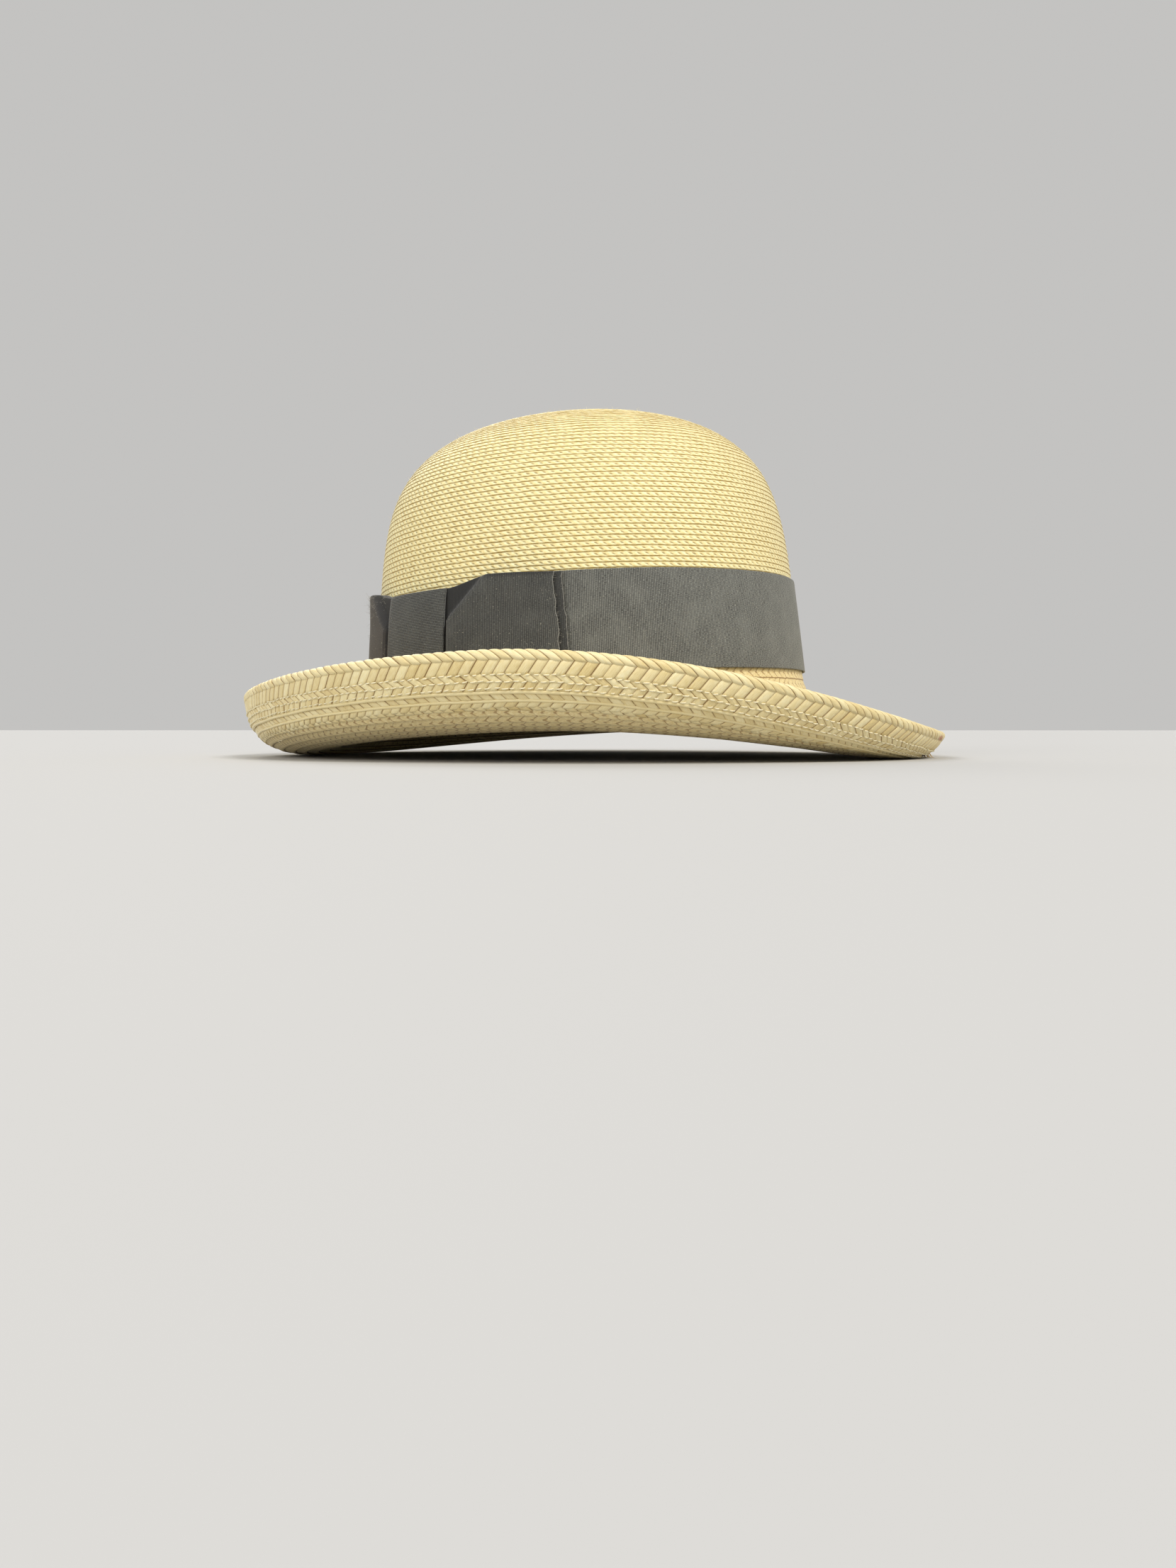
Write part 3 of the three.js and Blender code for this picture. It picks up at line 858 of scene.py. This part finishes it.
def straw_faces(hook, straw, start, width, longer, higher):
    """The two faces of one straw that starts at "start" along the rim."""
    a = np.linspace(0, 1, straw.rows)[:, None]
    b = np.linspace(-1, 1, 5)[None, :]
    end = np.where(a > 0.5, straw.tips[1], -straw.tips[0]) * np.abs(2 * a - 1) ** 4
    back = mix(straw.first, straw.last + longer, a) + end * (1 - b**2)
    along = start + straw.lean * (back - straw.first) + b * width / 2
    rise = mix(straw.tuck[0], 1, smooth(a * 3.2)) * mix(straw.tuck[1], 1, smooth((1 - a) * 3.2))
    raised = (straw.height + higher) * rise * (1 - 0.75 * np.abs(b) ** 3)
    flat = stacked(back * 1.2, b)
    levels = (STRAW_FOOT + raised - straw.drop, -STRAW_FOOT - straw.drop)
    return [Grid(hook.points(along, back, level), flat) for level in levels]


def add_straws(build, hook, straws, seed):
    """Each straw again and again round the rim, each kind starting where the last one ends."""
    count = round(hook.length / PLAIT_REPEAT)
    repeat = hook.length / count
    draw = np.random.default_rng(seed)
    start = 0.0
    for straw in straws:
        for k in range(count):
            shake = draw.normal(0, [0.1, 0.1, 0.03])
            tone = float(np.clip(draw.normal(0.6, 0.26), 0, 1))
            middle = start + (k + 0.5) * repeat + shake[0]
            faces = straw_faces(hook, straw, middle, repeat * STRAW_SHARE, *shake[1:])
            build.slab(*faces, tone)
        start += straw.lean * (straw.last - straw.first)


def make_plait(hook):
    """The plait's straws on a thin base, painted dark as the shade under and between them."""
    build = Builder()
    over = -np.linspace(0.1, 1.9, 7) * OVER
    inner_leg = [-2 * OVER, -2 * OVER - PLAIT_INNER_LEG]
    back = np.concatenate([[PLAIT_OUTER_LEG], np.linspace(9, 0, 4), over, inner_leg])[:, None]
    # across is 1 and the tone 0.2 all over the base, so it takes the dark brown: painted shade
    flat = stacked(hook.around, np.ones_like(back))
    build.slab(*(Grid(hook.points(hook.around, back, off), flat, True) for off in (-0.05, -0.5)), 0.2)
    add_straws(build, hook, PLAIT_STRAWS, 31)
    build.piece("rim_plait", plait_straw(hook), "edge_straw", "edge_braid")


def make_rim_rows(hook):
    """The first rows beside the plait, with rounded lips above them."""
    build = Builder()
    add_straws(build, hook, ROW_STRAWS, 33)
    turn = np.linspace(0, 2 * np.pi, 9)[:, None]
    wave = wobble(hook.around / hook.length * 360, (5, 9, 17, 31), 35, 0.1)
    flat = stacked(hook.around * 0.3, 0.6 * np.cos(turn))
    for back, radius, drop in LIPS:
        back = back + wave + radius * np.cos(turn)
        points = hook.points(hook.around, back, radius * np.sin(turn) - drop)
        build.add(Grid(points, flat, True), True, 0.7)
    build.piece("rim_rows", plait_straw(hook), "brim_straw")


THREAD_ROWS = (6.9, 9.3, 11.7)  # distances from the rim


def make_threads(hook):
    """Three rows of thread stitches that hold the plait."""
    build = Builder()
    draw = np.random.default_rng(41)
    count = round(hook.length / THREAD_SPACING)
    for number, back in enumerate(THREAD_ROWS):
        for k in range(count):
            middle = (k + 0.33 * number + draw.normal(0, 0.06)) * hook.length / count
            half = draw.normal(1.12, 0.16)
            lean = draw.normal(0.12, 0.07)
            t = np.linspace(-1, 1, 6)
            off = 0.6 - 0.7 * t**4
            points = hook.points(middle + half * t, back + draw.normal(0, 0.12) + lean * t, off)
            build.rod(points, [0.13, 0.26, 0.29, 0.29, 0.26, 0.13])
    build.piece("rim_threads", thread(), "edge_straw")


# ---- ribbon band ----

BAND_SHARE = 0.995  # the oval under the ribbon, as a share of the head line's


def band_top(angle):
    beside = np.abs(angle - KNOT_MIDDLE) - KNOT_HALF
    return RIBBON_TOP - KNOT_DIP * (1 - smooth(beside / KNOT_DIP_FADE))


def band_height(angle, share):
    return mix(RIBBON_BOTTOM, band_top(angle), share)


def ribbon_out(angle, share, off):
    """A point at a share of the ribbon's width, off the crown's face."""
    return crown_out(angle, band_height(angle, share), off)


def rib_wave(distance):
    """Relief of the ribs: round backs with narrow grooves."""
    return RIB_DEPTH * (np.abs(np.cos(np.pi * distance / RIB)) ** 0.8 - 0.5)


def make_band():
    length = 2 * math.pi * math.sqrt((HEAD_LONG**2 + HEAD_WIDE**2) / 2) * BAND_SHARE
    ribs = round(length / RIB)
    columns = ribs * 4
    angle = ring_angles(columns)[None, :]
    along = np.linspace(0, ribs * RIB, columns + 1)[None, :]
    share = np.array([0, 0.012, 0.2, 0.45, 0.7, 0.988, 1])[:, None]
    edge = np.array([RIB_AT_EDGE, 1, 1, 1, 1, 1, RIB_AT_EDGE])[:, None]
    wave = wobble(angle, (3, 5, 9, 14), 51, 0.12)
    height = band_height(angle, share) + wobble(angle, (2, 5, 7, 12), 52, 0.16)
    relief = rib_wave(along) * edge
    outer = crown_out(angle, height, BAND_FACE - CLOTH_SINK + wave * (share - 0.5) + relief)
    inner = crown_out(angle, height, GAP + 0.25)
    flat = stacked(along, share * RIBBON_WIDE)[::-1]
    build = Builder()
    build.slab(Grid(outer[::-1], flat, True), Grid(inner[::-1], flat, True))
    # the band is drawn at tone 1.8, much lighter than the bow: painted light
    cloth = grosgrain("band grosgrain", 1.8, 0.68)
    piece = build.piece("ribbon_band_cloth", cloth, "ribbon", "ribbon_band")


# ---- bow ----

# The bow's halves: name, side, seed, tone and tint. The rear one is browner.
# the tone is a painted light level: the rear half's lower tone is painted shade
HALVES = (
    ("bow_front", -1, 61, 0.85, (1.0, 1.0, 1.0)),
    ("bow_back", 1, 63, 0.5, (1.1, 0.94, 0.88)),
)


def crease_at(height):
    """The share of a half's length at which it drops towards the knot, with the corner folded in."""
    corner = np.clip((height - BOW_FOLD_AT) / (1 - BOW_FOLD_AT), 0, 1)
    return np.minimum(KNOT_EDGE * (1 - BOW_FOLD_LENGTH * corner), KNOT_EDGE - BOW_FALL / 2)


def puff_at(share, height):
    """How far a half stands off the band."""
    crease = crease_at(height)
    rise = smooth(share / crease)
    dropped = smooth((share - crease) / np.minimum(BOW_FALL, KNOT_EDGE - crease))
    across = mix(BOW_EDGE_PUFF, 1, np.sin(height * math.pi))
    return BOW_PUFF * rise * mix(1, BOW_PINCHED, dropped) * across


def half_length(extra):
    return math.radians(BOW_PANEL + BOW_TUCK + extra) * HEAD_RADIUS


def half_grid(side, extra, face, seed, puffed):
    """An outer and an inner grid of one layer of a half, and its shade: rows up the ribbon, columns
    to the knot."""
    ribs = round(half_length(extra) / RIB)
    share = np.linspace(0, 1, ribs * 4 + 1)[None, :]
    along = share * ribs * RIB
    middle = np.linspace(0.05, 0.95, 26 if puffed else 12)
    height = np.concatenate([[0, 0.012], middle, [0.988, 1]])[:, None]
    turn = np.random.default_rng(seed).uniform(0, 6, 3)
    fray = 0.25 * np.sin(height * 23 + turn[0]) + 0.18 * np.sin(height * 41 + turn[1])
    wave = (CUT_WAVE * np.sin(height * CUT_TURNS) + 0.5 * fray) * (1 - share) ** 6
    beside = mix(BOW_PANEL + extra, -BOW_TUCK, share) + wave
    angle = KNOT_MIDDLE + side * (KNOT_HALF + beside)
    level = band_height(angle, height) + 0.35 * np.sin(share * 5 + turn[2]) * (1 - share)
    puff = puff_at(share, height) if puffed else 0
    relief = rib_wave(along) * np.clip(np.minimum(height, 1 - height) * 60, RIB_AT_EDGE, 1)
    outer = crown_out(angle, level, face - CLOTH_SINK + puff + relief)
    thick = mix(0.3, 0.75, smooth(share / 0.08)) * RIBBON_THICK
    inner = crown_out(angle, level, face - thick + puff)
    flat = stacked(along, height * RIBBON_WIDE)
    # painted shade: the corner folded in by the knot is drawn nearly black, and the top edge darker
    folded = smooth((share - crease_at(height)) / 0.03) * smooth((height - BOW_FOLD_AT + 0.2) / 0.12)
    darker_top_edge = smooth((height - 0.955) / 0.02)
    shade = np.maximum(folded, 0.7 * darker_top_edge) * puffed
    turn_over = (slice(None, None, -1), slice(None) if side > 0 else slice(None, None, -1))
    flat, shade = flat[turn_over], shade[turn_over]
    return Grid(outer[turn_over], flat), Grid(inner[turn_over], flat), shade


def make_half(name, side, extra, face, seed, puffed, tone, tint):
    build = Builder()
    build.slab(*half_grid(side, extra, face, seed, puffed))
    cloth = grosgrain(name + "_cloth grosgrain", tone, 0.67, True, tint)
    piece = build.piece(name + "_cloth", cloth, "ribbon", name)


def make_halves():
    for name, side, seed, tone, tint in HALVES:
        # the under layers are drawn at tone 0.5: painted shade beneath the panels
        make_half(name + "_under", side, BOW_UNDER_SHOWS, UNDER_FACE, seed, False, 0.5, tint)
        make_half(name, side, 0, PANEL_FACE, seed + 1, True, tone, tint)


def make_knot():
    """The knot's ribbon runs up and over, so its ribs lie along the band."""
    length = round(RIBBON_WIDE - KNOT_DIP)
    height = np.linspace(0, 1, int(length / RIB * 4) + 1)[:, None]
    share = np.concatenate([[0, 0.015], np.linspace(0.06, 0.94, 16), [0.985, 1]])[None, :]
    angle = mix(KNOT_FROM, KNOT_TO, share)
    arch = KNOT_ARCH * np.sin(height * math.pi) ** 0.5
    near = PANEL_FACE + BOW_PUFF * BOW_PINCHED + GAP
    edge = np.clip(np.minimum(share, 1 - share) * 40, RIB_AT_EDGE, 1)
    roll = 0.7 * np.sin(share * math.pi) ** 0.4 - 0.35
    fold = 0.35 * np.exp(-(((share - 0.32 - 0.1 * height) / 0.035) ** 2))
    relief = rib_wave(height * length) * edge + roll - fold
    outer = ribbon_out(angle, height, near + RIBBON_THICK - 0.3 + arch + relief)
    inner = ribbon_out(angle, height, near + arch + roll)
    flat = stacked(height * length, share * KNOT_WIDE)[::-1]
    build = Builder()
    build.slab(Grid(outer[::-1], flat), Grid(inner[::-1], flat))
    # the knot's tone of 0.85, darker than the band, is a painted light level
    piece = build.piece("bow_knot_cloth", grosgrain("knot grosgrain", 0.85, 0.7), "ribbon", "bow_knot")


# ---- sweatband ----

COLLAR_POINTS = 90  # points of the brim's section that are sure to hold the collar


def sweat_spot(angle, heights, inset):
    """Points inside the collar and crown, at heights and at inset from their inner faces."""
    heights = np.asarray(heights, float)
    points, _ = under_face(angle)
    out, height = points[-COLLAR_POINTS:].T
    order = np.argsort(height)
    collar = place(angle, np.interp(heights, height[order], out[order]), heights)
    crown = crown_point(angle, heights / (CROWN_HEIGHT - CROWN_WALL), CROWN_WALL)
    square = place(angle, -1.0, 0) - place(angle, 0.0, 0)
    return np.where((heights < COLLAR_TOP)[..., None], collar, crown) + square * inset


def make_sweatband():
    angle = ring_angles(240)
    heights = np.array([SWEAT_BOTTOM, 3, 5, 7.5, 10, 14, CROWN_FOOT, 22, 26, SWEAT_TOP - 1, SWEAT_TOP])
    outer = np.stack([sweat_spot(a, heights, SWEAT_OFF + 0.05) for a in angle], 1)
    inner = np.stack([sweat_spot(a, heights, SWEAT_OFF + SWEAT_DEEP) for a in angle], 1)
    flat = stacked(np.radians(angle) * SWEAT_RADIUS, heights[:, None])[::-1]
    build = Builder()
    build.slab(Grid(outer[::-1], flat, True), Grid(inner[::-1], flat, True))
    piece = build.piece("sweatband_cloth", sweat_ribbon(), "sweatband", "sweatband")


# ---- loose fibres ----


def crown_frame(angle, share):
    """A point on the crown with its normal."""
    step = 0.004
    here = crown_point(angle, share)
    up = crown_point(angle, share + step) - here
    along = crown_point(angle + 0.5, share) - here
    return here, unit(np.cross(up, along))


def make_fuzz():
    """Short straw fibres that stand off the crown."""
    draw = np.random.default_rng(71)
    build = Builder()
    for _ in range(FUZZ):
        angle = draw.uniform(0, 360)
        share = crown_shares(draw.uniform(0.22, 0.995))[0]
        here, normal = crown_frame(angle, min(share, 0.9955))
        way = unit(normal * draw.uniform(0.5, 1.0) + draw.normal(0, 0.55, 3))
        length = min(2.6, 0.35 + draw.exponential(0.45))
        build.fibre(here, way, length, 0.055, draw.normal(0, 0.3, 3), rings=3)
    build.piece("crown_fuzz", plain("straw fibre", rgb(252, 243, 212)), "crown_straw")


def make_loose_ends(hook):
    """Straw ends that have come loose under the front of the rim."""
    draw = np.random.default_rng(81)
    build = Builder()
    for _ in range(LOOSE_ENDS):
        along = draw.uniform(-9, 16) % hook.length
        back = draw.uniform(8.5, 13.5)
        start = hook.points(along, back, 0.2)
        out = unit(hook.points(along, back, 1.2) - start)
        side = unit(hook.points(along + 1, back, 0.2) - start)
        way = unit(out * draw.uniform(0.15, 0.5) + side * draw.uniform(-1, 1))
        build.fibre(start, way, draw.uniform(2.5, 6.5), 0.2, out * 0.1, 4)
    build.piece("loose_straw_ends", plain("loose straw", rgb(226, 190, 112)), "edge_straw")


# The bow's frayed cut ends: side, degrees past the panel, face, how many threads and the longest.
FRAYED = (
    (-1, 0, PANEL_FACE, 45, 1.1),
    (-1, BOW_UNDER_SHOWS, UNDER_FACE, 45, 1.1),
    (1, 0, PANEL_FACE, 130, 3.2),
    (1, BOW_UNDER_SHOWS, UNDER_FACE, 60, 2.6),
)


def make_lint():
    """Threads frayed from the bow's cut ends, lint on the bare ribbon, and fray on the rear half."""
    draw = np.random.default_rng(91)
    build = Builder()
    up = np.array([0, 0, 1.0])
    for side, extra, face, count, longest in FRAYED:
        for _ in range(count):
            height = draw.uniform(0.01, 0.99)
            beside = BOW_PANEL + extra + CUT_WAVE * math.sin(height * CUT_TURNS) + draw.normal(0, 0.12)
            angle = KNOT_MIDDLE + side * (KNOT_HALF + beside)
            level = band_height(angle, height)
            start = crown_out(angle, level, face - draw.uniform(0.1, 0.7))
            way = unit(crown_out(angle + side, level, face) - start)
            length = draw.uniform(0.3, longest)
            build.fibre(start, way, length, 0.06, draw.normal(0, 0.35, 3))
    for _ in range(LINT):
        angle, height = draw.uniform(0, 360), draw.uniform(0.03, 0.97)
        if abs((angle - KNOT_MIDDLE + 180) % 360 - 180) < BOW_REACH + 1:
            continue
        level = band_height(angle, height)
        start = crown_out(angle, level, BAND_FACE + 0.06)
        along = unit(crown_out(angle + 1, level, BAND_FACE + 0.06) - start)
        way = unit(along * draw.normal() + up * draw.normal())
        build.fibre(start, way, draw.uniform(0.4, 2.0), 0.05, draw.normal(0, 0.25, 3))
    for _ in range(REAR_FRAY):
        share = draw.uniform(0.15, 0.75)
        height = max(0.55, 1 - draw.exponential(0.12))
        angle = KNOT_MIDDLE + KNOT_HALF + mix(BOW_PANEL, -BOW_TUCK, share)
        face = PANEL_FACE + puff_at(share, height)
        start = ribbon_out(angle, height, face - CLOTH_SINK)
        out = unit(ribbon_out(angle, height, face + 1) - start)
        way = unit(out * draw.uniform(0.4, 1) + up * draw.normal(0.1, 0.5))
        length = min(0.3 + draw.exponential(0.5), 3.5)
        build.fibre(start, way, length, 0.05, draw.normal(0, 0.4, 3))
    build.piece("ribbon_lint", plain("lint", rgb(176, 172, 160)), "ribbon")


def make_sweat_stitches():
    """A line of pale stitches along the sweatband's lower edge."""
    build = Builder()
    for k in range(SWEAT_STITCHES):
        angle = 360 * (k + np.linspace(0.2, 0.8, 5)) / SWEAT_STITCHES
        points = np.stack([sweat_spot(a, SWEAT_BOTTOM + 1.4, SWEAT_OFF + SWEAT_DEEP) for a in angle])
        build.rod(points, [0.12, 0.2, 0.22, 0.2, 0.12], 5)
    build.piece("sweatband_stitches", thread(), "sweatband")


# White bits of thread caught under the brim: angle, distance from the rim and length.
THREAD_BITS = ((128, 21, 6), (137, 24, 7), (149, 19, 4))


def make_thread_bits(hook):
    draw = np.random.default_rng(85)
    build = Builder()
    t = np.linspace(0, 1, 9)
    for angle, back, length in THREAD_BITS:
        along = np.interp(angle, hook.section.angles, hook.run) + length * t
        wave = 0.8 * np.sin(t * 7 + draw.uniform(0, 6))
        points = hook.points(along, back + wave, -0.55 + 0.4 * np.sin(t * 3))
        build.rod(points, np.full(9, 0.16), 5)
    build.piece("loose_threads", thread(), "brim_straw")


# ---- camera, floor and light ----

CAMERA_LENS = 27
CAMERA_PLACE = (-0.527, -0.146, 0.012)
CAMERA_TARGET = (0, 0.0019, -0.0132)


def look_at(obj, target):
    way = Vector(target) - obj.location
    obj.rotation_euler = way.to_track_quat("-Z", "Y").to_euler()


def make_stage():
    scene = bpy.context.scene
    bpy.ops.mesh.primitive_plane_add(size=60, location=(0, 0, 0))
    floor = bpy.context.object
    floor.name = "floor"
    paper = Nodes("floor paper")
    paper.colour((0.53, 0.527, 0.52, 1))
    paper.rough(0.9)
    floor.data.materials.append(paper.material)

    camera_data = bpy.data.cameras.new("camera")
    camera_data.lens = CAMERA_LENS
    camera_data.sensor_width = 36
    camera_data.clip_start = 0.01
    scene.camera = link(bpy.data.objects.new("camera", camera_data))
    scene.camera.location = CAMERA_PLACE
    look_at(scene.camera, CAMERA_TARGET)

    scene.view_settings.view_transform = "Standard"
    scene.world = bpy.data.worlds.new("studio")
    scene.world.use_nodes = True
    colour, strength = scene.world.node_tree.nodes["Background"].inputs[:2]
    colour.default_value = (1.0, 0.99, 0.97, 1)
    strength.default_value = 0.55

    # suns, so that the light is the same on all of the floor: name, place, spread, strength, colour
    lamps = (
        ("key", (-1.3, -1.9, 2.8), 24, 1.9, (1.0, 0.97, 0.92)),
        ("fill", (-2.4, 1.2, 1.6), 40, 0.95, (0.95, 0.97, 1.0)),
        ("back", (1.9, 1.6, 2.4), 33, 0.9, (1.0, 0.98, 0.95)),
    )
    for name, at, spread, strength, colour in lamps:
        data = bpy.data.lights.new(name, "SUN")
        data.angle = math.radians(spread)
        data.energy = strength
        data.color = colour
        light = link(bpy.data.objects.new(name, data))
        light.location = at
        look_at(light, (0, 0, 0.06))


# ---- assembly ----

make_stage()
make_crown()
make_brim()
plait_hook = Hook()
make_plait(plait_hook)
make_rim_rows(plait_hook)
make_threads(plait_hook)
make_band()
make_halves()
make_knot()
make_sweatband()
make_sweat_stitches()
make_fuzz()
make_loose_ends(plait_hook)
make_thread_bits(plait_hook)
make_lint()
